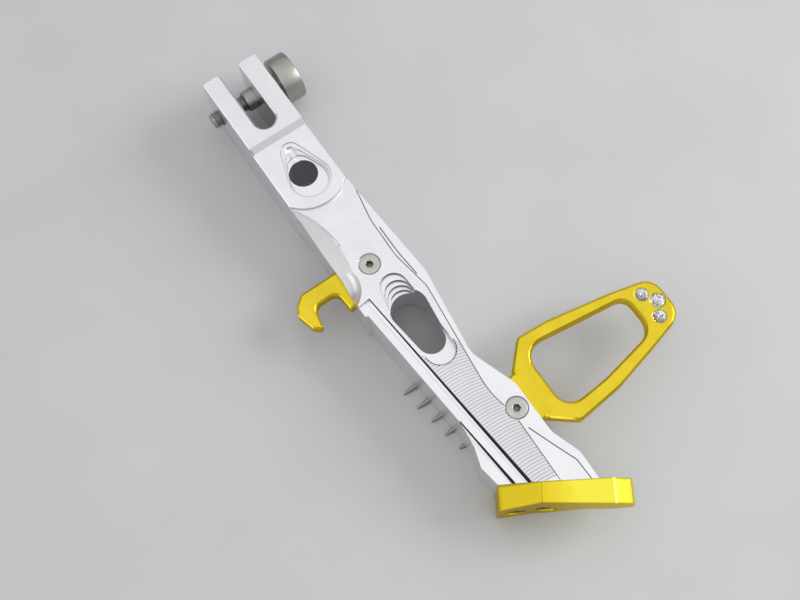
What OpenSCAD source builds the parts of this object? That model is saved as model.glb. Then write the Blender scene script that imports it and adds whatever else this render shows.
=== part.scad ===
// Side stand for a scooter, milled from aluminium bar, lying on its back.
// The leg carries a clevis for the frame lug at one end and a gold foot plate
// at the other. A gold spring hook and a gold loop for the boot are let into
// its sides, each held by one countersunk screw.
//
// The frame: X runs along the leg from the pivot to the foot, Y points to the
// side of the loop and Z up. The origin is on the pivot axis, midway between
// the ears. The decorated face is up and the flat back is on the ground.

/* [Leg] */
// Pivot axis to the foot seat, along the centre line
leg_l = 219; // [205:1:235]
// Thickness of the bar, back to the top of the fork
leg_h = 33; // [31:0.5:38]
// Angle between the foot seat and the leg
seat_angle = 58.5; // [54:0.5:64]
// How far the plateau round the bore lies below the fork
plateau_drop = 2.5; // [1.5:0.1:3]
// How far the middle of the leg lies below the fork
body_drop = 3.8; // [3.2:0.1:4.5]
// Step down from the middle to the side wings
wing_step = 0.7; // [0.4:0.1:1.2]
// Step down from the ribbed band to the land beside it
land_step = 1.3; // [0.8:0.1:1.6]
// Step down from the land to the flare at the heel
flare_step = 1.1; // [0.8:0.1:1.6]
// Chamfer along the long edges
edge_c = 1; // [0.5:0.1:1.5]
// Height of the underside of the wing above the back
wing_rise = 11; // [6:0.5:13]

/* [Fork] */
// Width over the two ears
fork_w = 28; // [26:0.5:32]
// Width of the slot for the frame lug
fork_slot_w = 10; // [8:0.5:12]
// Pivot axis to the tips of the ears
ear_reach = 9.5; // [8.5:0.5:12]
// Pivot axis to the bottom of the slot
fork_slot_l = 26; // [22:0.5:28]
// Pivot axis to the end of the fork block
fork_l = 30.5; // [29:0.5:33]

/* [Pivot bolt] */
// Diameter of the shoulder that the stand turns on
shoulder_d = 10; // [9:0.5:12]
// Nominal diameter of the thread
pivot_thread_d = 8; // [6:1:8]
// Diameter of the round head
pivot_head_d = 23; // [18:0.5:24]
// Height of the round head
pivot_head_h = 9.6; // [7:0.2:11]
// Gap left between the head and the ear
pivot_head_gap = 3.2; // [1:0.1:4]
// Length of the shoulder
shoulder_l = 16; // [14:0.5:17]
// How far the thread stands out of the far ear
pivot_stub_l = 4.2; // [1:0.5:5]
// Key size of the hexagon socket in the head
pivot_key = 8; // [6:1:10]
// Clearance round the shoulder in its ear
shoulder_gap = 0.15; // [0.05:0.05:0.3]

/* [Upper bore] */
// Pivot axis to the upper bore
bore_x = 52; // [50:0.5:54]
// Diameter of the upper bore
bore_d = 13; // [10:0.5:14]
// Radius of the plateau round the bore
plateau_r = 18.5; // [17:0.5:20]
// Depth of the teardrop pocket at the bore
teardrop_depth = 2.6; // [1.5:0.1:3]
// Diameter of the relief behind the bore
bore_relief_d = 18; // [15:0.5:20]
// Metal left round the bore between pocket and relief
bore_web = 9; // [7:0.5:12]

/* [Long slot] */
// Pivot axis to the wide end of the slot
slot_x = 131; // [129:0.5:133]
// Centre distance of the slot's two ends
slot_l = 16; // [12:0.5:17]
// Radius of the wide end
slot_r1 = 8.2; // [7:0.1:9]
// Radius of the narrow end
slot_r2 = 6.3; // [5:0.1:7]
// How far the slot lies off the centre line
slot_y = 2.8; // [2:0.1:3.5]
// Depth of the relief behind the slot
slot_relief = 11; // [6:0.5:13]
// Height of each stair at the slot
stair_h = 1.4; // [1:0.1:1.8]

/* [Ribs and fine grooves] */
// Pitch of the ribs along the leg
rib_pitch = 1.4; // [1.2:0.1:2]
// Depth of the grooves between the ribs
rib_depth = 0.3; // [0.1:0.05:0.5]
// Radius of the arcs that the cutter left
rib_r = 40; // [30:1:60]
// Width of the fine grooves
line_w = 0.5; // [0.3:0.05:0.7]
// Depth of the fine grooves
line_depth = 0.6; // [0.3:0.1:0.8]

/* [Foot plate] */
// Length of the foot plate on the ground
foot_l = 54.5; // [50:0.5:60]
// Thickness of the foot plate
foot_t = 10; // [8:0.5:12]
// How far the sole is hollowed between heel and toe
sole_hollow = 1.6; // [0.5:0.1:2.5]
// Heel to the corner of the top edge
foot_corner = 17; // [14:0.5:20]
// Height of the toe's blunt end
toe_h = 8; // [6:0.5:10]

/* [Loop] */
// Leg's centre line to the far end of the loop
loop_reach = 97; // [90:1:105]
// Width of the loop beside the leg
loop_w = 44; // [42:0.5:48]
// Thickness of the loop and of the hook
plate_t = 6; // [5:0.5:6.5]
// Chamfer round the gold plates
plate_c = 1; // [0.4:0.1:1.2]
// Width of the bar round the opening
loop_bar = 6.5; // [5.5:0.5:8]
// Diameter of the two side stones
stone_d = 5.8; // [4:0.2:6]
// Diameter of the middle stone
stone_mid_d = 6.4; // [5:0.2:6.8]
// How far a stone stands proud of the loop
stone_proud = 0.9; // [0.5:0.1:1.5]

/* [Hook] */
// Leg's centre line to the hook's outer end
hook_reach = 37.3; // [34:0.5:42]
// Width of the hook's shank
hook_shank_w = 8.6; // [7:0.2:10]

/* [Screws] */
// Nominal diameter of the countersunk screws
screw_d = 5; // [4:0.5:5]
// Diameter of the countersunk heads
screw_head_d = 9.8; // [9:0.1:10]
// Key size of the hexagon socket
screw_key = 3; // [2.5:0.5:3]
// Clearance round screws, roots and stones
fit_gap = 0.1; // [0.05:0.05:0.2]

/* [Hidden] */
$fn = 64;
e = 0.01;

top_z = leg_h / 2;
back_z = -leg_h / 2;
plateau_z = top_z - plateau_drop;
body_z = top_z - body_drop;
wing_z = body_z - wing_step;
land_z = body_z - land_step;
flare_z = land_z - flare_step;
half_w = fork_w / 2;

// The foot seat: u runs along it from the heel, v out of it to the ground
heel_y = -10.6;
heel_x = leg_l + heel_y / tan(seat_angle);
foot_top_z = body_z - 0.2;

// Where the four stairs start
stair_x = [for (d = [17.6, 14.3, 12, 10]) slot_x - d];

// The cone that hollows the left flank
scoop_x = 91;
scoop_r = 47.3;
scoop_y = -6.3 - scoop_r;
scoop_slope = 0.83;

// The first rib, at the slot, and the way the ribs drift across the leg
rib_x = slot_x + 21;
rib_y = -5;
rib_slope = 0.12;

// The screws that hold the loop and the hook
loop_screw_x = leg_l - 27.3;
loop_screw_y = 14.2;
hook_screw_x = 105;
hook_screw_y = 0;
hook_x = hook_screw_x - 8.6;
loop_z = wing_z - 5.3 - plate_t;
hook_z = loop_z - 3;
screw_head_h = (screw_head_d - screw_d) / 2;

// The loop's own axis, across the leg
loop_x = loop_screw_x - 3.2;
stone_y = loop_reach - 8.6;

module at_seat() {
  translate([heel_x, heel_y, 0]) rotate([0, 0, seat_angle]) children();
}

// Turns an outline of [x, y, radius] corners into points, n steps a corner
function corner(a, b, c, n) =
  let (p = [a[0], a[1]], q = [b[0], b[1]], s = [c[0], c[1]],
       u = (p - q) / norm(p - q), w = (s - q) / norm(s - q),
       half = acos(max(-1, min(1, u * w))) / 2,
       side = u[0] * w[1] - u[1] * w[0],
       m = q + (u + w) / norm(u + w) * b[2] / sin(half),
       from = atan2((q + u * b[2] / tan(half) - m)[1], (q + u * b[2] / tan(half) - m)[0]),
       turn = (180 - 2 * half) * (side < 0 ? 1 : -1))
  b[2] <= 0 ? [q]
            : [for (i = [0 : n]) m + b[2] * [cos(from + turn * i / n), sin(from + turn * i / n)]];

function rounded(P, n = 6) =
  let (k = len(P))
  [for (i = [0 : k - 1]) each corner(P[(i + k - 1) % k], P[i], P[(i + 1) % k], n)];

// The same outline, counter-clockwise, moved inwards by d
function inset(P, d) =
  let (k = len(P))
  [for (i = [0 : k - 1])
    let (a = P[(i + k - 1) % k], b = P[i], c = P[(i + 1) % k],
         u = [b[0] - a[0], b[1] - a[1]] / norm([b[0] - a[0], b[1] - a[1]]),
         w = [c[0] - b[0], c[1] - b[1]] / norm([c[0] - b[0], c[1] - b[1]]),
         nu = [-u[1], u[0]], nw = [-w[1], w[0]],
         shift = (nu + nw) / (1 + nu * nw),
         convex = u[0] * w[1] - u[1] * w[0] > 0)
    [b[0] + d * shift[0], b[1] + d * shift[1], max(0.2, b[2] + (convex ? -d : d))]];

// A prism over a convex outline, chamfered by c at both faces
module chamfered(P, z0, z1, c, n = 6) {
  rings = [rounded(inset(P, c), n), rounded(P, n), rounded(P, n), rounded(inset(P, c), n)];
  heights = [z0, z0 + abs(c), z1 - abs(c), z1];
  k = len(rings[0]);
  points = [for (r = [0 : 3]) for (p = rings[r]) [p[0], p[1], heights[r]]];
  sides = [for (r = [0 : 2]) for (i = [0 : k - 1])
            [r * k + i, (r + 1) * k + i, (r + 1) * k + (i + 1) % k, r * k + (i + 1) % k]];
  polyhedron(points, concat([[for (i = [0 : k - 1]) i]], sides,
                            [[for (i = [k - 1 : -1 : 0]) 3 * k + i]]));
}

function arc(p, r, from, to, n = 24) =
  [for (i = [0 : n]) p + r * [cos(from + (to - from) * i / n), sin(from + (to - from) * i / n)]];

// A slot that narrows: two round ends joined by their outer tangents
module taper(p1, r1, p2, r2) {
  dir = atan2(p2[1] - p1[1], p2[0] - p1[0]);
  a = acos((r1 - r2) / norm(p2 - p1));
  polygon(concat(arc(p1, r1, dir + a, dir + 360 - a), arc(p2, r2, dir - a, dir + a)));
}

module cut_above(z) {
  translate([0, 0, z]) linear_extrude(leg_h) children();
}

// Leg

module leg_outline() {
  polygon(rounded([
    [-ear_reach, -half_w, 0], [66, -half_w, 8], [72, -half_w + 0.7, 12],
    [104, -half_w + 0.7, 30], [116, -half_w - 0.7, 12], [123.5, -half_w - 0.7, 0],
    [124, -half_w + 0.6, 0], [leg_l - 34.5, -8.2, 30], [leg_l - 24, -9.4, 4],
    [leg_l - 15.8, -12.1, 3], [heel_x, heel_y, 0], [heel_x + 20, heel_y, 0],
    [leg_l + 30, 23.4, 0], [leg_l + 1.5, 24.3, 5], [leg_l - 11.5, 19.8, 12],
    [leg_l - 36, 20, 9], [leg_l - 57, 12.6, 14], [121, 18.3, 20], [66.2, half_w + 0.6, 2],
    [65.2, half_w, 0], [-ear_reach, half_w, 0]]));
}

// The curve that divides the middle of the leg from its right side
right_side = [
  [67, 15.5, 0], [88, 11.7, 25], [108, 11.2, 20], [127, 14.2, 12], [leg_l - 40, 8.5, 40],
  [leg_l - 24.5, 11.3, 20], [leg_l + 40, 9.5, 0], [leg_l + 40, 45, 0], [67, 45, 0]];

// A short line beside it, above the slot
upper_line = [[slot_x - 37.8, 13, 0], [slot_x - 24, 12.9, 60], [slot_x - 10.8, 13.9, 0]];

// The line on the wing, which bends towards the foot plate
wing_line = [
  [leg_l - 18, 12.8, 0], [leg_l - 5.5, 17.4, 20], [leg_l + 3.5, 20.9, 4], [leg_l + 30, 21.2, 0]];

module fine_grooves() {
  cut_above(wing_z - line_depth) {
    difference() {
      polygon(rounded(right_side));
      polygon(rounded(inset(right_side, line_w)));
    }
    polygon(strip(upper_line, line_w));
    polygon(strip(wing_line, line_w));
  }
}

// The arcs that a round cutter leaves as it moves along the band
module ribs() {
  for (d = [0 : rib_pitch : leg_l + 3 - rib_x])
    translate([rib_x + d + rib_r, rib_y + d * rib_slope, body_z])
      rotate([0, 0, 154]) rotate_extrude(angle = 34) translate([rib_r, 0])
        polygon([[-rib_pitch / 3, e], [0, -rib_depth], [rib_pitch / 3, e]]);
}

// A straight step: everything on its left goes down to z, with a sloped face
// and a low bead of the given width at its foot
module straight_step(from, to, z, drop, bead) {
  l = norm(to - from);
  translate([from[0], from[1], z]) rotate([0, 0, atan2(to[1] - from[1], to[0] - from[0])])
    rotate([90, 0, 90]) linear_extrude(l)
      polygon([[-60, 0], [-drop - bead, 0], [-drop - bead, 0.2], [0.2 - drop, 0.2],
               [e, drop + e], [e, leg_h], [-60, leg_h]]);
}

// An open line with a width: the same corners there and back
function strip(P, w) =
  rounded(concat(P, [for (i = [len(P) - 1 : -1 : 0]) P[i] + [0, w, 0]]));

module edge_chamfer(x0, x1, y, z) {
  translate([x0, y, z]) rotate([0, 90, 0])
    linear_extrude(x1 - x0) rotate(45) square(edge_c * sqrt(2), center = true);
}

module fork_cuts() {
  translate([-ear_reach - 1, -fork_slot_w / 2, back_z - 1])
    cube([ear_reach + 1 + fork_slot_l - fork_slot_w / 2, fork_slot_w, leg_h + 2]);
  translate([fork_slot_l - fork_slot_w / 2, 0, back_z - 1]) cylinder(d = fork_slot_w, h = leg_h + 2);
  translate([fork_slot_l - fork_slot_w / 2, 0, top_z - edge_c])
    cylinder(d1 = fork_slot_w, d2 = fork_slot_w + 2 * edge_c + 2 * e, h = edge_c + e);
  for (s = [-1, 1]) edge_chamfer(-ear_reach - 1, fork_slot_l - fork_slot_w / 2,
                                 s * fork_slot_w / 2, top_z);
  translate([0, fork_slot_w / 2 - 1, 0]) rotate([-90, 0, 0])
    cylinder(d = shoulder_d + 2 * shoulder_gap, h = half_w);
  translate([0, -half_w - 1, 0]) rotate([-90, 0, 0])
    cylinder(d = pivot_thread_d + 2 * fit_gap, h = half_w);
  // The cutter's mark where the step meets the left edge
  translate([fork_l + 1.6, -half_w - 0.4, plateau_z - 1.4]) cylinder(d = 2.6, h = 10);
  // The sloped step from the fork down to the plateau
  translate([0, -50, 0]) rotate([-90, 0, 0]) linear_extrude(100)
    polygon([[fork_l, -top_z - 1], [fork_l, -top_z], [fork_l + plateau_drop, -plateau_z],
             [leg_l + 40, -plateau_z], [leg_l + 40, -top_z - 1]]);
}

module bore_cuts() {
  floor_z = plateau_z - teardrop_depth;
  translate([bore_x, 0.3, back_z - 1]) cylinder(d = bore_d, h = leg_h + 2);
  translate([bore_x, 0.3, back_z - 1]) cylinder(d = bore_relief_d, h = floor_z - bore_web - back_z + 1);
  // The pocket deepens towards the bore in steps, each with a ball-nose end
  cut_above(plateau_z - teardrop_depth / 4) taper([bore_x - 11.2, 1], 4.7, [bore_x + 4.4, 1.2], 9.7);
  cut_above(plateau_z - teardrop_depth / 2) taper([bore_x - 7.4, 1], 4.6, [bore_x + 4.4, 1], 9);
  cut_above(floor_z) taper([bore_x - 3.4, 0.6], 5.8, [bore_x + 4.4, 0.8], 8.5);
  for (i = [0, 1]) translate([bore_x - 11.6 + 4.4 * i, 1.2, plateau_z - teardrop_depth / 4 - 0.7 * i + 1]) {
    sphere(2.6);
    rotate([0, 90, 0]) cylinder(r = 2.6, h = 5);
  }
}

module slot_cuts() {
  near = [slot_x, slot_y];
  far = [slot_x + slot_l, slot_y];
  translate([0, 0, back_z - 1]) linear_extrude(leg_h + 2) taper(near, slot_r1, far, slot_r2);
  translate([0, 0, back_z - 1]) linear_extrude(slot_relief + 1)
    taper(near, slot_r1 + 2.6, far, slot_r2 + 2.6);
  // Four stairs come down into the wide end
  for (i = [0 : len(stair_x) - 1])
    cut_above(body_z - stair_h * (i + 1))
      taper([stair_x[i] + 6.1, slot_y], 6.1, near - [0, 0.9], slot_r1 - 0.5);
  // The ledge runs on along the slot and ends in a crescent below it
  cut_above(body_z - stair_h * 3) taper(near - [0, 1.3], slot_r1 - 0.5, far + [6.4, 0], slot_r2 + 0.5);
}

module side_scoops() {
  // A wide cone hollows the left flank, with a fine groove along its start
  translate([scoop_x, scoop_y, body_z - 12])
    cylinder(r1 = scoop_r - 12 / scoop_slope, r2 = scoop_r + 6 / scoop_slope, h = 18, $fn = 128);
  translate([scoop_x, scoop_y, body_z]) rotate([0, 0, 90]) rotate_extrude(angle = 34, $fn = 128)
    translate([scoop_r + 0.35, 0]) circle(0.4, $fn = 16);
  translate([107, -19.6, body_z + 7]) sphere(13.7);
}

module screw_hole(z_top, z_end) {
  translate([0, 0, z_end]) cylinder(d = screw_d + 2 * fit_gap, h = z_top - z_end + e);
  translate([0, 0, z_top - screw_head_h - 0.3])
    cylinder(d1 = screw_d + 2 * fit_gap, d2 = screw_head_d + 2 * fit_gap, h = screw_head_h);
  translate([0, 0, z_top - 0.3 - e]) cylinder(d = screw_head_d + 2 * fit_gap, h = 12);
}

module leg() {
  color([0.92, 0.92, 0.94]) difference() {
    translate([0, 0, back_z]) linear_extrude(leg_h) leg_outline();
    at_seat() translate([-60, -100, back_z - 1]) cube([180, 100, leg_h + 2]);
    fork_cuts();
    edge_chamfer(-ear_reach - 1, fork_l, -half_w, top_z);
    edge_chamfer(fork_l + plateau_drop, 67, -half_w, plateau_z);
    cut_above(body_z) difference() {
      translate([bore_x, -50]) square([leg_l, 100]);
      translate([bore_x, 1]) circle(plateau_r);
    }
    cut_above(wing_z) polygon(rounded(right_side));
    fine_grooves();
    ribs();
    straight_step([118, -8.9], [leg_l + 20, 2.9], land_z, land_step, 0.7);
    straight_step([leg_l - 36, -7.9], [leg_l + 20, -2.1], flare_z, flare_step, 0.4);
    side_scoops();
    bore_cuts();
    slot_cuts();
    translate([hook_screw_x, hook_screw_y, 0]) screw_hole(body_z, hook_z - 8);
    translate([loop_screw_x, loop_screw_y, 0]) screw_hole(wing_z, loop_z - 4);
    translate([0, 0, hook_z]) linear_extrude(plate_t + fit_gap) hook_seat();
    translate([0, 0, loop_z]) linear_extrude(plate_t + fit_gap) loop_seat();
    // The wing is thinner than the bar
    translate([0, 0, back_z - 1]) linear_extrude(wing_rise + 1)
      polygon([[leg_l - 62, 30], [leg_l - 55, 9], [leg_l + 40, 9], [leg_l + 40, 30]]);
    for (u = foot_screw_u) foot_screw_at(u) translate([0, 0, -14])
      cylinder(d = screw_d + 2 * fit_gap, h = 15);
  }
}

// Roots of the gold plates inside the leg

module loop_seat() {
  polygon(rounded([
    [loop_screw_x - 16.5, 40, 0], [loop_screw_x - 11 - fit_gap, 7 - fit_gap, 5],
    [loop_screw_x + 9.5 + fit_gap, 7 - fit_gap, 5], [loop_screw_x + 9.5 + fit_gap, 40, 0]]));
}

module hook_seat() {
  polygon(rounded([
    [hook_x - fit_gap, -30, 0], [hook_x - fit_gap, 7 + fit_gap, 5],
    [hook_x + 18.2 + fit_gap, 7 + fit_gap, 5], [hook_x + 18.2 + fit_gap, -30, 0]]));
}

// Foot plate

foot_screw_u = [7, 19.5];
foot_screw_z = -6;

// Thickness of the plate at u, down to the hollowed sole
function sole_at(u) =
  foot_t - sole_hollow * min(u / foot_corner, (foot_l - 7 - u) / (foot_l - 7 - foot_corner));

// Where a screw's head face lies, just below the sole
function foot_head(u) = sole_at(u) - 0.6;

module foot_screw_at(u) {
  at_seat() translate([u, 0, foot_screw_z]) rotate([90, 0, 0]) children();
}

// Seen along the leg: the top edge falls to the heel and the toe
module foot_face() {
  polygon(rounded([
    [0, back_z, 3], [foot_corner + 3, back_z, 8], [foot_l - 21, back_z + wing_rise + 1.5, 8],
    [foot_l, foot_top_z - 5.5 - toe_h, 2], [foot_l, foot_top_z - 5.5, 2],
    [foot_l - 8.5, foot_top_z, 2], [foot_corner, foot_top_z, 1], [0, foot_top_z - 5.8, 2]]));
}

// Seen from above: the sole is hollowed between heel and toe
module foot_section() {
  polygon([
    [-1, 0], [foot_l + 1, 0], [foot_l + 1, -foot_t - 0.4], [foot_l - 7, -foot_t - 0.4],
    [foot_corner, -foot_t + sole_hollow], [0, -foot_t], [-1, -foot_t]]);
}

module foot_plate() {
  color([0.93, 0.8, 0.15]) difference() {
    at_seat() intersection() {
      rotate([90, 0, 0]) linear_extrude(foot_t + 2) foot_face();
      translate([0, 0, back_z - 1]) linear_extrude(leg_h + 2) foot_section();
    }
    for (u = foot_screw_u) foot_screw_at(u) {
      translate([0, 0, -1]) cylinder(d = screw_d + 2 * fit_gap, h = foot_t + 2);
      translate([0, 0, foot_head(u) - screw_head_h])
        cylinder(d1 = screw_d + 2 * fit_gap, d2 = screw_head_d + 2 * fit_gap, h = screw_head_h);
      translate([0, 0, foot_head(u) - e]) cylinder(d = screw_head_d + 2 * fit_gap, h = 5);
    }
  }
}

// Screws

module hex_socket(key, depth) {
  cylinder(d = key / cos(30), h = depth, $fn = 6);
}

// Countersunk screw, head face at z = 0, shank downwards
module countersunk(l) {
  color([0.78, 0.77, 0.73]) difference() {
    union() {
      translate([0, 0, -screw_head_h]) cylinder(d1 = screw_d, d2 = screw_head_d, h = screw_head_h);
      translate([0, 0, -l + 0.6]) cylinder(d = screw_d, h = l - 0.6 - screw_head_h + e);
      translate([0, 0, -l]) cylinder(d1 = screw_d - 1.2, d2 = screw_d, h = 0.6 + e);
    }
    translate([0, 0, -2.2]) hex_socket(screw_key, 3);
    translate([0, 0, -0.25]) cylinder(d1 = screw_key * 1.1, d2 = screw_key * 1.3, h = 0.26);
  }
}

module hook_screw() {
  translate([hook_screw_x, hook_screw_y, body_z - 0.3]) countersunk(body_z - 0.3 - hook_z + 7);
}

module loop_screw() {
  translate([loop_screw_x, loop_screw_y, wing_z - 0.3]) countersunk(wing_z - 0.3 - loop_z + 3.5);
}

module foot_screw(u) {
  foot_screw_at(u) translate([0, 0, foot_head(u)]) countersunk(20);
}

module foot_screw_heel() {
  foot_screw(foot_screw_u[0]);
}

module foot_screw_toe() {
  foot_screw(foot_screw_u[1]);
}

// Gold plates

loop_root = [
  [loop_screw_x - 13.5, 22, 1.4], [loop_screw_x - 11, 7, 5], [loop_screw_x + 9.5, 7, 5],
  [loop_screw_x + 9.5, 28, 1.4], [loop_screw_x - 13.5, 28, 1.4]];

loop_out = [
  [loop_screw_x - 14.2, 22.6, 2], [loop_screw_x + 9.5, 22.6, 2], [loop_x + loop_w / 2, 34, 4],
  [loop_x + loop_w / 2 - 2.2, 56, 20], [loop_x + loop_w / 2 - 7, 76, 20], [loop_x + 9.5, loop_reach, 9],
  [loop_x - 10.5, loop_reach, 8], [loop_x - loop_w / 2 + 6.5, 77, 20],
  [loop_x - loop_w / 2 + 1, 48, 20], [loop_x - loop_w / 2, 33.4, 4]];

loop_in = [
  [loop_x - loop_w / 2 + loop_bar - 1.8, 31.4, 9], [loop_x + loop_w / 2 - loop_bar, 31.4, 8],
  [loop_x + loop_w / 2 - loop_bar - 1.5, 53, 30], [loop_x + 8.5, loop_reach - 14.4, 9],
  [loop_x - 10.5, loop_reach - 14.4, 6]];

module stone_places() {
  translate([loop_x - 6.8, stone_y, 0]) children(0);
  translate([loop_x - 0.9, stone_y + 3.9, 0]) children(1);
  translate([loop_x + 5.2, stone_y + 0.1, 0]) children(2);
}

module stone_hole(d) {
  translate([0, 0, loop_z + plate_t - 1.2]) cylinder(d = d + 2 * fit_gap, h = 3);
}

module loop() {
  color([0.93, 0.8, 0.15]) difference() {
    union() {
      chamfered(loop_out, loop_z, loop_z + plate_t, plate_c);
      chamfered(loop_root, loop_z, loop_z + plate_t, plate_c);
    }
    chamfered(inset(loop_in, plate_c / 2), loop_z - 1, loop_z + plate_t + 1, -plate_c - 1);
    translate([loop_screw_x, loop_screw_y, loop_z - 1])
      cylinder(d = screw_d + 2 * fit_gap, h = plate_t + 2);
    stone_places() {
      stone_hole(stone_d);
      stone_hole(stone_mid_d);
      stone_hole(stone_d);
    }
  }
}

hook_out = [
  [hook_x, -10.5, 1.4], [hook_x, -31, 3], [hook_x + 3.4, -35.2, 2.2], [hook_x + 7.4, -hook_reach, 2.2],
  [hook_x + 16.4, -34.9, 1.6], [hook_x + 18, -32.4, 1.2], [hook_x + 18.2, -10.5, 1.4]];

hook_mouth = [
  [hook_x + hook_shank_w - 0.6, -17.6, 3.6], [hook_x + hook_shank_w - 0.4, -28.8, 4],
  [hook_x + 26, -32.6, 1], [hook_x + 26, -16.2, 1]];

module spring_hook() {
  color([0.93, 0.8, 0.15]) union() {
    difference() {
      chamfered(hook_out, hook_z, hook_z + plate_t, plate_c);
      chamfered(hook_mouth, hook_z - 1, hook_z + plate_t + 1, -plate_c - 1);
    }
    // The root is ground a little thinner, and the screw goes through it
    difference() {
      translate([0, 0, hook_z + 0.1]) linear_extrude(plate_t - 0.2)
        polygon(rounded([[hook_x + 0.2, -13, 0], [hook_x + 18, -13, 0],
                         [hook_x + 18, 7, 5], [hook_x + 0.2, 7, 5]]));
      translate([hook_screw_x, hook_screw_y, hook_z - 1])
        cylinder(d = screw_d + 2 * fit_gap, h = plate_t + 2);
    }
  }
}

// A cut stone: flat table, bevelled crown and a plain girdle
module stone(d) {
  color([0.9, 0.92, 0.95]) translate([0, 0, loop_z + plate_t]) {
    translate([0, 0, -1.2]) cylinder(d = d, h = 1.2 + e);
    cylinder(d1 = d, d2 = d * 0.55, h = stone_proud, $fn = 12);
  }
}

module stone_left() {
  stone_places() {
    stone(stone_d);
    union() {}
    union() {}
  }
}

module stone_middle() {
  stone_places() {
    union() {}
    stone(stone_mid_d);
    union() {}
  }
}

module stone_right() {
  stone_places() {
    union() {}
    union() {}
    stone(stone_d);
  }
}

// Pivot bolt: round head, shoulder, thread

module pivot_bolt() {
  head_y = half_w + pivot_head_gap;
  color([0.66, 0.65, 0.61]) rotate([-90, 0, 0]) difference() {
    union() {
      translate([0, 0, head_y]) rotate_extrude()
        polygon([[0, 0], [pivot_head_d / 2 - 0.6, 0], [pivot_head_d / 2, 0.6],
                 [pivot_head_d / 2, pivot_head_h - 0.6], [pivot_head_d / 2 - 0.6, pivot_head_h],
                 [0, pivot_head_h]]);
      translate([0, 0, head_y - shoulder_l]) cylinder(d = shoulder_d, h = shoulder_l + e);
      translate([0, 0, -half_w - pivot_stub_l + 0.8])
        cylinder(d = pivot_thread_d, h = half_w + pivot_stub_l - 0.8 + head_y - shoulder_l + e);
      translate([0, 0, -half_w - pivot_stub_l])
        cylinder(d1 = pivot_thread_d - 1.6, d2 = pivot_thread_d, h = 0.8 + e);
    }
    translate([0, 0, head_y + pivot_head_h - 5]) hex_socket(pivot_key, 6);
  }
}

leg();
foot_plate();
foot_screw_heel();
foot_screw_toe();
loop();
loop_screw();
spring_hook();
hook_screw();
pivot_bolt();
stone_left();
stone_middle();
stone_right();
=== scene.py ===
"""Looks of the side stand: bright milled leg, gold anodised plates, turned bolt
and cut stones, on a pale floor in soft studio light. Everything is in metres,
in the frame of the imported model: X along the leg, Y across it, Z up."""

import math

import bmesh
import bpy
from mathutils import Matrix, Vector


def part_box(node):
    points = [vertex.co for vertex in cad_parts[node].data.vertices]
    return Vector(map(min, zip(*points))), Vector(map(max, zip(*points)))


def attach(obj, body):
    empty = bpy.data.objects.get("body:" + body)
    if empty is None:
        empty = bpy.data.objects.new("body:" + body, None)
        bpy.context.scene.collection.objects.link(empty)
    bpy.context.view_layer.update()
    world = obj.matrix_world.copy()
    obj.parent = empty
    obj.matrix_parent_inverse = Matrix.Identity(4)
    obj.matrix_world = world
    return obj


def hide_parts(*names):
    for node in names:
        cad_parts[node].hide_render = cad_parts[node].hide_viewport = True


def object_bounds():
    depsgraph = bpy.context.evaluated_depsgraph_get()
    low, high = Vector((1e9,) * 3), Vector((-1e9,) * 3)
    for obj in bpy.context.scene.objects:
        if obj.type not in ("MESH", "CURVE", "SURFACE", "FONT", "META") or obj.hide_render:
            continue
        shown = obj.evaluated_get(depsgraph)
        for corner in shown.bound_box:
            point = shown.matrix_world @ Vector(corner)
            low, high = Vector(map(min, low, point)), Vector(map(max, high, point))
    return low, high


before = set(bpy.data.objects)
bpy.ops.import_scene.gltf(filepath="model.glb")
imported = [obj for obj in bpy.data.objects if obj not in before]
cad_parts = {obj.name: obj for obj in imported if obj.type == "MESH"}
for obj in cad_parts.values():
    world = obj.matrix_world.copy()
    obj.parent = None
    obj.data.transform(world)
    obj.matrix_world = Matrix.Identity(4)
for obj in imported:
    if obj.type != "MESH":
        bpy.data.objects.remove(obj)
cad_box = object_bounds()
scene = bpy.context.scene
MM = 0.001

# The materials below work in millimetres on the leg.
# Heights on the leg: fork, middle, and the lowest step
FORK_Z = 16.5
MIDDLE_Z = 12.7
FLARE_Z = 10.3
# Where the ribbed band starts along the leg
BAND_X = 150
# The two steps beside the band: start, end, and the painted dark line's width at both
STEPS = (((118, -8.9), (239, 2.9), 0.45, 1.5), ((183, -7.9), (239, -2.1), 0.5, 1.7))
# Where the painted dark lines on the steps fade out, a painted reflection of the gold foot plate
PAINTED_GLOW_X = (225, 234)
# Where the stairs at the long slot are: middle and half width, and their foot
STAIRS_X = (117, 8)
STAIRS_Y = (2.8, 8)
STAIRS_Z = MIDDLE_Z - 5.8
# The crescent at the slot's lower end: X and Y of its centre, and its radius
CRESCENT = (153.4, 2.8, 6.8)
# The foot plate's fold, measured along the plate, whose direction is ALONG
FOLD = 131.3
ALONG = (0.577, 0.817)
# Directions in the plan that run down and across the photo
DOWN = (0.82, -0.57)
ACROSS = (0.57, 0.82)
# Rows of fine milling marks: their pitch, and the length of a mark
ROW_PITCH = 0.9
MARK_LENGTH = 1.7
# How much the painted shade darkens the faces: steps, stairs, crescent and fold
STEP_LOSS = 0.97
STAIR_LOSS = 0.85
CRESCENT_LOSS = 0.8
FOLD_LOSS = 0.35


# Node helpers


def new_material(name):
    """A material with a Principled shader: the material, its tree and the shader."""
    material = bpy.data.materials.new(name)
    material.use_nodes = True
    tree = material.node_tree
    return material, tree, tree.nodes["Principled BSDF"]


def add(tree, kind, **values):
    """Adds a node; names of inputs or properties give its values."""
    node = tree.nodes.new("ShaderNode" + kind)
    for key, value in values.items():
        name = key.replace("_", " ")
        if name in node.inputs:
            node.inputs[name].default_value = value
        else:
            setattr(node, key, value)
    return node


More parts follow.
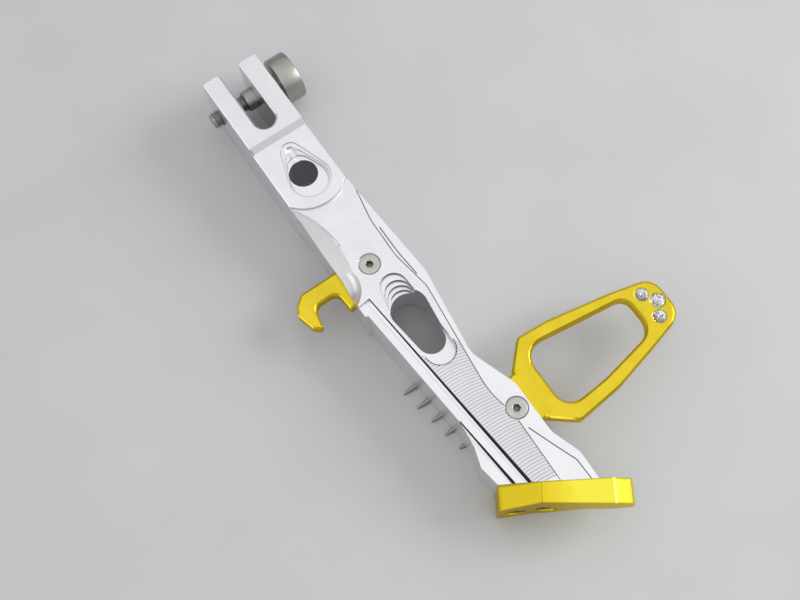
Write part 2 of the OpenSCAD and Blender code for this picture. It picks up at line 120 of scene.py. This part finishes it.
def calc(tree, operation, a, b=None, c=None):
    """A Math node on sockets or numbers, and its output."""
    node = tree.nodes.new("ShaderNodeMath")
    node.operation = operation
    for entry, value in zip(node.inputs, (a, b, c)):
        if isinstance(value, bpy.types.NodeSocket):
            tree.links.new(value, entry)
        elif value is not None:
            entry.default_value = value
    return node.outputs[0]


def weigh(tree, base, *terms):
    """base plus the sum of (output, weight) terms."""
    total = base
    for output, weight in terms:
        total = calc(tree, "MULTIPLY_ADD", output, weight, total)
    return total


def product(tree, *factors):
    """The product of all the factors."""
    total = factors[0]
    for factor in factors[1:]:
        total = calc(tree, "MULTIPLY", total, factor)
    return total


def millimetres(tree):
    """The place on the object in millimetres, as a vector and as X, Y and Z."""
    place = add(tree, "TexCoord")
    scale = add(tree, "VectorMath", operation="SCALE")
    scale.inputs["Scale"].default_value = 1 / MM
    tree.links.new(place.outputs["Object"], scale.inputs[0])
    split = add(tree, "SeparateXYZ")
    tree.links.new(scale.outputs[0], split.inputs[0])
    return scale.outputs[0], split.outputs


def facing(tree):
    """X, Y and Z of the direction that each face looks in."""
    geometry = add(tree, "NewGeometry")
    split = add(tree, "SeparateXYZ")
    tree.links.new(geometry.outputs["True Normal"], split.inputs[0])
    return split.outputs


def noise(tree, vector, scale, detail=3.0, roughness=0.5, stretch=None):
    """A noise texture, optionally stretched along an axis."""
    if stretch:
        mapping = add(tree, "Mapping")
        mapping.inputs["Scale"].default_value = stretch
        tree.links.new(vector, mapping.inputs["Vector"])
        vector = mapping.outputs[0]
    node = add(tree, "TexNoise", Scale=scale, Detail=detail, Roughness=roughness)
    tree.links.new(vector, node.inputs["Vector"])
    return node.outputs["Fac"]


def ramp(tree, value, stops):
    """A colour ramp over stops of (position, colour)."""
    node = add(tree, "ValToRGB")
    elements = node.color_ramp.elements
    while len(elements) < len(stops):
        elements.new(0.5)
    for element, (position, colour) in zip(elements, stops):
        element.position = position
        element.color = (*colour, 1)
    tree.links.new(value, node.inputs["Fac"])
    return node.outputs["Color"]


def fade(tree, value, low, high, start=0.0, end=1.0):
    """Maps value from low..high to start..end, held at both ends."""
    node = add(tree, "MapRange")
    for index, number in enumerate((low, high, start, end)):
        node.inputs[index + 1].default_value = number
    tree.links.new(value, node.inputs[0])
    return node.outputs[0]


def dim(tree, colour, amount):
    """The colour times a number from another node."""
    node = add(tree, "VectorMath", operation="SCALE")
    tree.links.new(colour, node.inputs[0])
    tree.links.new(amount, node.inputs["Scale"])
    return node.outputs[0]


def bump(tree, height, distance, normal):
    """A bump of the given depth in metres, on top of another normal."""
    node = add(tree, "Bump", Strength=1.0, Distance=distance)
    tree.links.new(height, node.inputs["Height"])
    tree.links.new(normal, node.inputs["Normal"])
    return node.outputs["Normal"]


def soft_edges(tree, radius):
    """The normal of a surface whose edges are broken by a small radius."""
    node = add(tree, "Bevel", samples=6, Radius=radius)
    return node.outputs["Normal"]


def painted_crevice_shade(tree, reach, darkest, alone=True):
    """Painted shade: 1 on open faces, less in corners, and darkest deep in a groove.
    With alone, the other pieces don't count."""
    node = add(tree, "AmbientOcclusion", samples=8, only_local=alone, Distance=reach)
    openness = node.outputs["AO"]
    corner = fade(tree, openness, 0.40, 0.78, 0.35, 1.0)
    groove = fade(tree, openness, 0.12, 0.40, darkest, 1.0)
    return product(tree, corner, groove)


def near(tree, value, centre, width):
    """1 where value lies within width of centre, else 0."""
    return calc(tree, "COMPARE", value, centre, width)


def link(tree, shader, **outputs):
    """Links outputs of other nodes to the shader's inputs of those names."""
    for key, output in outputs.items():
        tree.links.new(output, shader.inputs[key.replace("_", " ")])


# Materials


def milling_marks(tree, x, y):
    """Rows of short marks that a ball cutter leaves, staggered like bricks."""
    rows = calc(tree, "DIVIDE", weigh(tree, 0.0, (x, DOWN[0]), (y, DOWN[1])), ROW_PITCH)
    runs = calc(tree, "DIVIDE", weigh(tree, 0.0, (x, ACROSS[0]), (y, ACROSS[1])), MARK_LENGTH)
    row = calc(tree, "FLOOR", rows)
    wave = calc(tree, "SINE", product(tree, rows, 2 * math.pi))
    dash = calc(tree, "SINE", weigh(tree, 0.0, (runs, 2 * math.pi), (row, math.pi)))
    return weigh(tree, 0.0, (wave, 0.5), (product(tree, dash, wave), 0.5))


def marked_levels(tree, x, z):
    """1 on the two levels that carry milling marks, but not on the band."""
    fork = near(tree, z, FORK_Z, 0.05)
    before_band = calc(tree, "LESS_THAN", x, BAND_X)
    middle = product(tree, near(tree, z, MIDDLE_Z, 0.05), before_band)
    return calc(tree, "ADD", fork, middle)


def on_step(tree, x, y, start, end, thin, wide):
    """Painted shade's mask: 1 on a line that widens along the right of a step's upper
    edge, else 0, and weaker near the foot plate as a painted reflection of its gold.
    """
    length = math.dist(start, end)
    side = ((start[1] - end[1]) / length, (end[0] - start[0]) / length)
    offset = -side[0] * start[0] - side[1] * start[1]
    off_edge = weigh(tree, offset, (x, side[0]), (y, side[1]))
    width = fade(tree, x, start[0], end[0], thin, wide)
    within = near(tree, calc(tree, "DIVIDE", off_edge, width), -0.5, 0.5)
    past_start = calc(tree, "GREATER_THAN", x, start[0])
    painted_glow = fade(tree, x, *PAINTED_GLOW_X, 1, 0.2)
    return product(tree, within, past_start, painted_glow)


def painted_shade_on_steps(tree, x, y, z):
    """Painted shade: near 0 on the sloped faces of the two steps along the band, else 1."""
    upward = calc(tree, "GREATER_THAN", facing(tree)[2], 0.3)
    above = calc(tree, "GREATER_THAN", z, FLARE_Z - 0.2)
    first, second = [on_step(tree, x, y, *step) for step in STEPS]
    face = product(tree, calc(tree, "MAXIMUM", first, second), upward, above)
    return weigh(tree, 1.0, (face, -STEP_LOSS))


def painted_shade_on_stairs(tree, x, y, z):
    """Painted shade: near 0 on the upright faces of the stairs at the long slot, else 1."""
    upright = calc(tree, "LESS_THAN", facing(tree)[2], 0.6)
    above = calc(tree, "GREATER_THAN", z, STAIRS_Z)
    wall = product(tree, near(tree, x, *STAIRS_X), near(tree, y, *STAIRS_Y), upright, above)
    return weigh(tree, 1.0, (wall, -STAIR_LOSS))


def painted_shade_on_crescent(tree, x, y, z):
    """Painted shade: near 0 on a thin line round the crescent below the long slot, else 1."""
    middle_x, middle_y, radius = CRESCENT
    dx = calc(tree, "SUBTRACT", x, middle_x)
    dy = calc(tree, "SUBTRACT", y, middle_y)
    away = calc(tree, "SQRT", calc(tree, "ADD", product(tree, dx, dx), product(tree, dy, dy)))
    edge = near(tree, away, radius + 0.15, 0.25)
    lower_half = calc(tree, "GREATER_THAN", dx, -0.5)
    line = product(tree, edge, lower_half, near(tree, z, MIDDLE_Z, 0.3))
    return weigh(tree, 1.0, (line, -CRESCENT_LOSS))


def milled_metal():
    """Bright aluminium. The fork and the middle of the leg carry the cutter's
    fine crossing marks; the plateau, the land and the wing are smooth satin."""
    material, tree, shader = new_material("milled_metal")
    place, (x, y, z) = millimetres(tree)
    level = marked_levels(tree, x, z)
    marks = product(tree, milling_marks(tree, x, y), level)
    brushed = noise(tree, place, 1.0, 4.0, 0.6, stretch=(0.15, 3.5, 3.5))
    tone = noise(tree, place, 0.08, 3.0)
    tint = weigh(tree, 0.22, (marks, 0.22), (brushed, 0.18), (tone, 0.20))
    colour = ramp(tree, tint, [(0.1, (0.66, 0.66, 0.68)), (0.7, (0.97, 0.97, 0.99))])
    # Painted shade: dark lines on the steps, the stairs and round the crescent, and darker corners and
    # grooves.
    painted_shades = [dark(tree, x, y, z) for dark in (painted_shade_on_steps, painted_shade_on_stairs, painted_shade_on_crescent)]
    shade = product(tree, painted_crevice_shade(tree, 1.1 * MM, 0.10), *painted_shades)
    rough = weigh(tree, 0.24, (brushed, 0.12), (level, 0.06))
    normal = soft_edges(tree, 0.2 * MM)
    normal = bump(tree, brushed, 0.006 * MM, normal)
    normal = bump(tree, marks, 0.04 * MM, normal)
    link(tree, shader, Base_Color=dim(tree, colour, shade), Roughness=rough, Normal=normal)
    shader.inputs["Metallic"].default_value = 1.0
    return material


def painted_fold_light(tree, x, y):
    """Painted light on the foot plate: a tone duller on the heel and brighter past the fold, and a painted
    shade, dark on the fold.
    """
    along = weigh(tree, 0.0, (x, ALONG[0]), (y, ALONG[1]))
    tone = fade(tree, along, FOLD - 0.3, FOLD + 16, -0.25, 0.25)
    line = near(tree, along, FOLD, 0.2)
    return tone, weigh(tree, 1.0, (line, -FOLD_LOSS))


def gold_coat(name, edge, dark, bright, fold=False):
    """Gold anodised aluminium under a glossy seal, with rounded edges."""
    material, tree, shader = new_material(name)
    place, (x, y, _) = millimetres(tree)
    grain = noise(tree, place, 2.2, 3.0, 0.55, stretch=(1, 1, 4))
    cloud = noise(tree, place, 0.12, 2.0)
    mixed = weigh(tree, 0.0, (grain, 0.15), (cloud, 0.85))
    # Painted shade in corners and grooves.
    shade = painted_crevice_shade(tree, 0.6 * MM, 0.3)
    # With fold, the foot plate gets painted light: a duller heel, a brighter part past the fold, and a
    # painted dark line on the fold.
    if fold:
        tone, line = painted_fold_light(tree, x, y)
        mixed = weigh(tree, 0.3, (mixed, 0.4), (tone, 1.0))
        shade = product(tree, shade, line)
    colour = ramp(tree, mixed, [(0.3, dark), (0.7, bright)])
    normal = soft_edges(tree, edge)
    normal = bump(tree, grain, 0.0012 * MM, normal)
    rough = weigh(tree, 0.17, (grain, 0.06))
    link(tree, shader, Base_Color=dim(tree, colour, shade), Roughness=rough, Normal=normal)
    shader.inputs["Metallic"].default_value = 0.88
    shader.inputs["Specular Tint"].default_value = (0.85, 0.62, 0.08, 1)
    shader.inputs["Coat Weight"].default_value = 0.1
    shader.inputs["Coat Roughness"].default_value = 0.08
    return material


def steel(name, dark, bright, stretch, rough, reach):
    """Turned or pressed steel with a fine grain along one direction."""
    material, tree, shader = new_material(name)
    place, _ = millimetres(tree)
    grain = noise(tree, place, 1.6, 4.0, 0.6, stretch=stretch)
    stain = noise(tree, place, 0.25, 2.0)
    mixed = weigh(tree, 0.0, (grain, 0.6), (stain, 0.4))
    colour = ramp(tree, mixed, [(0.3, dark), (0.7, bright)])
    normal = soft_edges(tree, 0.2 * MM)
    normal = bump(tree, grain, 0.002 * MM, normal)
    shine = weigh(tree, rough, (grain, 0.12))
    # Painted shade in corners, grooves and sockets; the other pieces count too.
    shade = painted_crevice_shade(tree, reach, 0.06, alone=False)
    link(tree, shader, Base_Color=dim(tree, colour, shade), Roughness=shine, Normal=normal)
    shader.inputs["Metallic"].default_value = 1.0
    return material


def clear_stone():
    """Clear cut stone with faint clouding."""
    material, tree, shader = new_material("clear_stone")
    place, _ = millimetres(tree)
    cloud = noise(tree, place, 1.2, 2.0)
    colour = ramp(tree, cloud, [(0.3, (0.98, 0.98, 0.98)), (0.7, (1.0, 1.0, 1.0))])
    link(tree, shader, Base_Color=colour)
    shader.inputs["Transmission Weight"].default_value = 0.9
    shader.inputs["Roughness"].default_value = 0.02
    shader.inputs["IOR"].default_value = 1.65
    return material


def stone_foil():
    """The silver foil behind a cut stone, with black and white patches of painted sparkle."""
    material, tree, shader = new_material("stone_foil")
    place, _ = millimetres(tree)
    crinkle_and_painted_sparkle = noise(tree, place, 1.3, 1.0)
    colour = ramp(tree, crinkle_and_painted_sparkle, [(0.36, (0.15, 0.15, 0.16)), (0.46, (1.0, 1.0, 1.0))])
    link(tree, shader, Base_Color=colour, Roughness=weigh(tree, 0.04, (crinkle_and_painted_sparkle, 0.08)))
    shader.inputs["Metallic"].default_value = 1.0
    return material


def floor_paint():
    """Pale matt studio floor, barely mottled."""
    material, tree, shader = new_material("floor_paint")
    place, _ = millimetres(tree)
    mottle = noise(tree, place, 0.02, 4.0)
    colour = ramp(tree, mottle, [(0.3, (0.51, 0.515, 0.52)), (0.7, (0.535, 0.54, 0.545))])
    link(tree, shader, Base_Color=colour)
    shader.inputs["Roughness"].default_value = 0.85
    shader.inputs["Specular IOR Level"].default_value = 0.1
    return material


def dress(node, material):
    """Gives a node of the frame its material."""
    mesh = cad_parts[node].data
    mesh.materials.clear()
    mesh.materials.append(material)


# Meshes


def make_object(name, build, materials, smooth_angle=30):
    """An object from a bmesh function, with its materials, on the one body."""
    bm = bmesh.new()
    build(bm)
    bmesh.ops.recalc_face_normals(bm, faces=bm.faces)
    mesh = bpy.data.meshes.new(name)
    bm.to_mesh(mesh)
    bm.free()
    for material in materials:
        mesh.materials.append(material)
    mesh.shade_smooth()
    mesh.set_sharp_from_angle(angle=math.radians(smooth_angle))
    piece = bpy.data.objects.new(name, mesh)
    scene.collection.objects.link(piece)
    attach(piece, "root")
    return piece


def ring(bm, centre, axes, radius_at, count, phase=0.0):
    """A ring of vertices in the plane of two unit vectors; the radius is a
    length or a function of the angle."""
    out = []
    for i in range(count):
        a = 2 * math.pi * i / count + phase
        r = radius_at(a) if callable(radius_at) else radius_at
        out.append(bm.verts.new(centre + r * (math.cos(a) * axes[0] + math.sin(a) * axes[1])))
    return out


def bridge(bm, low, high):
    """Joins two rings of the same count with quads."""
    n = len(low)
    return [bm.faces.new((low[i], low[(i + 1) % n], high[(i + 1) % n], high[i])) for i in range(n)]


# Floor, lights and camera

FLOOR_HALF = 20
LAMP_SPREAD = math.radians(120)
LAMP_TARGET = (0.11, 0.01, 0)
# Brightness of the dome by height: horizon, dark band, shoulder and top
DOME = (
    (0.0, 0.36),
    (0.05, 0.33),
    (0.11, 0.05),
    (0.18, 0.18),
    (0.42, 0.56),
    (0.70, 0.75),
    (0.86, 0.78),
    (0.96, 0.90),
)
CAMERA_PLACE = (0.25597, -0.07272, 0.44193)
CAMERA_TURNS = (("Z", 60.289), ("X", 19.205), ("Z", -5.129))


def make_floor():
    """A wide floor under the lowest point of the part."""
    bm = bmesh.new()
    bmesh.ops.create_grid(bm, x_segments=4, y_segments=4, size=FLOOR_HALF)
    bmesh.ops.translate(bm, verts=bm.verts, vec=(0.12, 0, cad_box[0].z))
    mesh = bpy.data.meshes.new("floor")
    bm.to_mesh(mesh)
    bm.free()
    mesh.materials.append(floor_paint())
    floor = bpy.data.objects.new("floor", mesh)
    scene.collection.objects.link(floor)


def make_lamp(name, place, size, power):
    """A rectangular soft box with a grid, which keeps its light off the floor
    below it. The camera doesn't see it."""
    lamp = bpy.data.lights.new(name, "AREA")
    lamp.shape = "RECTANGLE"
    lamp.size, lamp.size_y = size
    lamp.energy = power
    lamp.spread = LAMP_SPREAD
    holder = bpy.data.objects.new(name, lamp)
    holder.location = place
    aim = Vector(LAMP_TARGET) - Vector(place)
    holder.rotation_euler = aim.to_track_quat("-Z", "Y").to_euler()
    holder.visible_camera = False
    scene.collection.objects.link(holder)


def make_world():
    """White overhead, a dark band low down, and pale at the horizon."""
    world = bpy.data.worlds.new("studio")
    world.use_nodes = True
    tree = world.node_tree
    place = add(tree, "TexCoord")
    split = add(tree, "SeparateXYZ")
    tree.links.new(place.outputs["Generated"], split.inputs[0])
    dome = ramp(tree, split.outputs["Z"], [(z, (v, v, 1.01 * v)) for z, v in DOME])
    background = tree.nodes["Background"]
    background.inputs["Strength"].default_value = 1.2
    tree.links.new(dome, background.inputs["Color"])
    scene.world = world


def make_camera():
    """The photo's camera: steep, seen from the foot's end, turned on its axis."""
    camera = bpy.data.cameras.new("camera")
    camera.sensor_width = 36
    camera.lens = 48.3
    holder = bpy.data.objects.new("camera", camera)
    pan, tilt, roll = [Matrix.Rotation(math.radians(a), 4, axis) for axis, a in CAMERA_TURNS]
    holder.matrix_world = Matrix.Translation(CAMERA_PLACE) @ pan @ tilt @ roll
    scene.collection.objects.link(holder)
    scene.camera = holder
    scene.view_settings.view_transform = "Standard"


# Pivot bolt and screws

X_AXIS = Vector((1, 0, 0))
Y_AXIS = Vector((0, 1, 0))
Z_AXIS = Vector((0, 0, 1))
# Vertices round every turned piece
AROUND = 64
# The bolt's head, socket, shoulder and thread
HEAD_H = 9.6 * MM
BOLT_KEY = 8 * MM
BOLT_SOCKET = 5 * MM
SHOULDER_R = 5.0 * MM
SHOULDER_L = 17.5 * MM
PITCH = 1.25 * MM
CREST_R = 4.0 * MM
ROOT_R = 3.35 * MM
ROWS_PER_PITCH = 8
# The screws' shank, socket and broken rim
SCREW_R = 2.5 * MM
SCREW_KEY = 3 * MM
SCREW_SOCKET = 2.2 * MM
SCREW_RIM = 0.6 * MM


def hexagon(key):
    """The radius of a hexagon socket at an angle, for its key size."""
    flat = math.radians(60)
    return lambda a: key / 2 / math.cos((a % flat) - flat / 2)


def thread(y, start, tip):
    """The radius of the helical ridge at an angle; it runs out at both ends."""
    run_out = max(0.0, min(1.0, (y - tip) / (1.2 * MM), (start - y) / (0.6 * MM) + 0.2))
    chamfer = 0.35 * MM * max(0.0, 1 - (y - tip) / (0.8 * MM))

    def radius(a):
        phase = (y / PITCH + a / (2 * math.pi)) % 1.0
        tooth = min(1.0, 1.15 * max(0.0, 1 - abs(phase - 0.5) / 0.42))
        return ROOT_R + (CREST_R - ROOT_R) * tooth * run_out - chamfer

    return radius


def turn(bm, axis, axes, centre, profile):
    """Turns a profile of (radius, height) along an axis: its first and last ring."""
    rings = [ring(bm, centre + h * axis, axes, r, AROUND) for r, h in profile]
    for one, other in zip(rings, rings[1:]):
        bridge(bm, one, other)
    return rings[0], rings[-1]


def socket(bm, mouth, axis, axes, centre, key, lip, floor):
    """A hexagon socket inside a round mouth."""
    sides = [ring(bm, centre + h * axis, axes, hexagon(key), AROUND) for h in (lip, floor)]
    bridge(bm, mouth, sides[0])
    bridge(bm, *sides)
    bm.faces.new(sides[1])


def bolt_profile(head_r, top, head, end):
    """Radius and height from the socket's mouth to the start of the thread, for
    the head between top and head and the shoulder that ends at end."""
    return [
        (4.9 * MM, top),
        (head_r - 0.9 * MM, top),
        (head_r - 0.3 * MM, top - 0.25 * MM),
        (head_r, top - 0.9 * MM),
        (head_r, head + 0.7 * MM),
        (head_r - 0.2 * MM, head + 0.2 * MM),
        (head_r - 0.7 * MM, head),
        (SHOULDER_R + 0.4 * MM, head),
        (SHOULDER_R, head - 0.3 * MM),
        (SHOULDER_R, end + 0.6 * MM),
        (SHOULDER_R - 0.4 * MM, end),
        (ROOT_R, end),
    ]


def build_bolt(bm):
    """Shoulder bolt along Y: socket head, shoulder and a cut thread."""
    low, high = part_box("pivot_bolt")
    axes = (X_AXIS, Z_AXIS)
    centre = Vector((0, 0, 0))
    top = high.y
    head = top - HEAD_H
    end = head - SHOULDER_L
    profile = bolt_profile((high.x - low.x) / 2, top, head, end)
    mouth, last = turn(bm, Y_AXIS, axes, centre, profile)
    socket(bm, mouth, Y_AXIS, axes, centre, BOLT_KEY, top - 0.4 * MM, top - BOLT_SOCKET)
    layers = int((end - low.y) / PITCH * ROWS_PER_PITCH)
    for j in range(1, layers + 1):
        y = end - (end - low.y) * j / layers
        row = ring(bm, y * Y_AXIS, axes, thread(y, end, low.y), AROUND)
        bridge(bm, last, row)
        last = row
    bm.faces.new(last)


def build_screw(low, high):
    """A countersunk screw with a turned rim and a hexagon socket."""

    def build(bm):
        axes = (X_AXIS, Y_AXIS)
        middle = (low + high) / 2
        centre = Vector((middle.x, middle.y, 0))
        r = (high.x - low.x) / 2
        top = high.z
        profile = [
            (1.95 * MM, top),
            (r - SCREW_RIM, top),
            (r - 0.35 * MM, top - 0.1 * MM),
            (r, top - SCREW_RIM),
            (SCREW_R, top - SCREW_RIM - (r - SCREW_R)),
            (SCREW_R, low.z + 0.5 * MM),
            (SCREW_R - 0.5 * MM, low.z),
        ]
        mouth, tip = turn(bm, Z_AXIS, axes, centre, profile)
        socket(bm, mouth, Z_AXIS, axes, centre, SCREW_KEY, top - 0.15 * MM, top - SCREW_SOCKET)
        bm.faces.new(tip)

    return build


# Teeth along the foot of the left side, in millimetres: place along the leg, and tip

TEETH = ((154.6, -17.1), (163.1, -15.8), (171.6, -14.3), (179.7, -12.7), (188.0, -11.2))
# A point on the leg's left side, and how much that side leans
SIDE_POINT = (124, -12.4)
SIDE_LEAN = 0.086
# Share of a tooth's height and of its width, from the floor to the ridge
TOOTH_LEVELS = ((0, 1.0), (0.5, 0.9), (1.0, 0.25))


def tooth_outline(root, tip):
    """Half widths and places across the leg, round the tooth and back."""
    side = [(-1.8, root), (-1.3, root - 0.8), (-0.5, tip + 0.6), (-0.25, tip)]
    return side + [(-dx, y) for dx, y in reversed(side)]


def tooth_level(bm, x, root, tip, lift, narrow):
    """One level of a tooth, which is highest at its root."""
    row = []
    for dx, y in tooth_outline(root, tip):
        height = (1.4 + 1.8 * (y - tip) / (root - tip)) * lift
        place = Vector(((x + dx * narrow) * MM, y * MM, cad_box[0].z + height * MM))
        row.append(bm.verts.new(place))
    return row


def build_teeth(bm):
    """Five small teeth at the foot of the leg's left side, widest at the root."""
    for x, tip in TEETH:
        root = SIDE_POINT[1] + (x - SIDE_POINT[0]) * SIDE_LEAN
        rows = [tooth_level(bm, x, root, tip, *level) for level in TOOTH_LEVELS]
        bridge(bm, rows[0], rows[1])
        bridge(bm, rows[1], rows[2])
        bm.faces.new(rows[0])
        bm.faces.new(rows[2])


# Stones

STONE_SIDES = 8
# Share of a stone's height above its girdle
CROWN = 0.42
# Radius of the table, the star's points and the cone's tip, in girdle radii
TABLE_R = 0.5
STAR_R = 0.72
TIP_R = 0.12


def build_stone(low, high):
    """A round cut stone: table, star and main facets, girdle and a foiled cone."""

    def build(bm):
        r = (high.x - low.x) / 2
        middle = (low + high) / 2
        crown = CROWN * (high.z - low.z)
        axes = (X_AXIS, Y_AXIS)
        n = STONE_SIDES

        def level(z, radius, count, phase=0.0):
            return ring(bm, Vector((middle.x, middle.y, z)), axes, radius, count, phase)

        table = level(high.z, TABLE_R * r, n, math.pi / n)
        star = level(high.z - 0.28 * crown, STAR_R * r, n)
        girdle = level(high.z - crown, r, 2 * n)
        waist = level(high.z - crown - 0.25 * MM, r, 2 * n)
        foot = level(low.z, TIP_R * r, 2 * n)
        bm.faces.new(table)
        for i in range(n):
            bm.faces.new((table[i - 1], table[i], star[i]))
            bm.faces.new((table[i], star[i], girdle[2 * i + 1], star[(i + 1) % n]))
            bm.faces.new((star[i], girdle[2 * i], girdle[2 * i + 1]))
            bm.faces.new((star[i], girdle[2 * i - 1], girdle[2 * i]))
        bridge(bm, waist, girdle)
        foiled = bridge(bm, foot, waist)
        foiled.append(bm.faces.new(foot))
        for face in foiled:
            face.material_index = 1

    return build


# The whole scene


def make_studio():
    """Camera, world, floor and lamps."""
    make_camera()
    make_world()
    make_floor()
    make_lamp("key", (0.50, 0.95, 0.62), (0.6, 0.6), 3.4)
    make_lamp("left", (-0.05, -0.95, 0.13), (1.6, 0.22), 0.67)


def dress_solids():
    """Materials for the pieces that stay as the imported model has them."""
    gold = gold_coat("gold_coat", 0.8 * MM, (0.70, 0.52, 0.024), (0.79, 0.61, 0.034))
    # Painted light: the foot plate's gold is a lighter, yellower copy of the gold of the loop and hook.
    lit_gold = gold_coat("lit_gold_coat_foot", 1.1 * MM, (0.76, 0.58, 0.022), (0.87, 0.79, 0.06), fold=True)
    black_steel = steel("black_steel", (0.06, 0.06, 0.065), (0.12, 0.12, 0.125), (1, 1, 1), 0.32, MM)
    dress("leg", milled_metal())
    dress("foot_plate", lit_gold)
    for node in ("loop", "spring_hook"):
        dress(node, gold)
    for node in ("foot_screw_heel", "foot_screw_toe"):
        dress(node, black_steel)


def add_steel_pieces():
    """The bolt, the two screws that show, and the teeth."""
    bolt_steel = steel("bolt_steel", (0.34, 0.33, 0.31), (0.46, 0.45, 0.42), (0.3, 4, 0.3), 0.34, 0.6 * MM)
    stainless = steel("stainless", (0.42, 0.41, 0.38), (0.62, 0.61, 0.56), (1, 1, 1), 0.24, 3 * MM)
    bolt = make_object("turned_pivot_bolt", build_bolt, [bolt_steel])
    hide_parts("pivot_bolt")
    for node in ("loop_screw", "hook_screw"):
        screw = make_object("turned_" + node, build_screw(*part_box(node)), [stainless])
        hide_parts(node)
    # Painted shade: the teeth take the darker bolt steel, standing in for the shadow of the leg that they
    # lie in.
    teeth = make_object("leg_teeth", build_teeth, [bolt_steel])


def add_stones():
    """The three cut stones in the loop."""
    glass = [clear_stone(), stone_foil()]
    for node in ("stone_left", "stone_middle", "stone_right"):
        stone = make_object("cut_" + node, build_stone(*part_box(node)), glass, smooth_angle=1)
        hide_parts(node)


make_studio()
dress_solids()
add_steel_pieces()
add_stones()
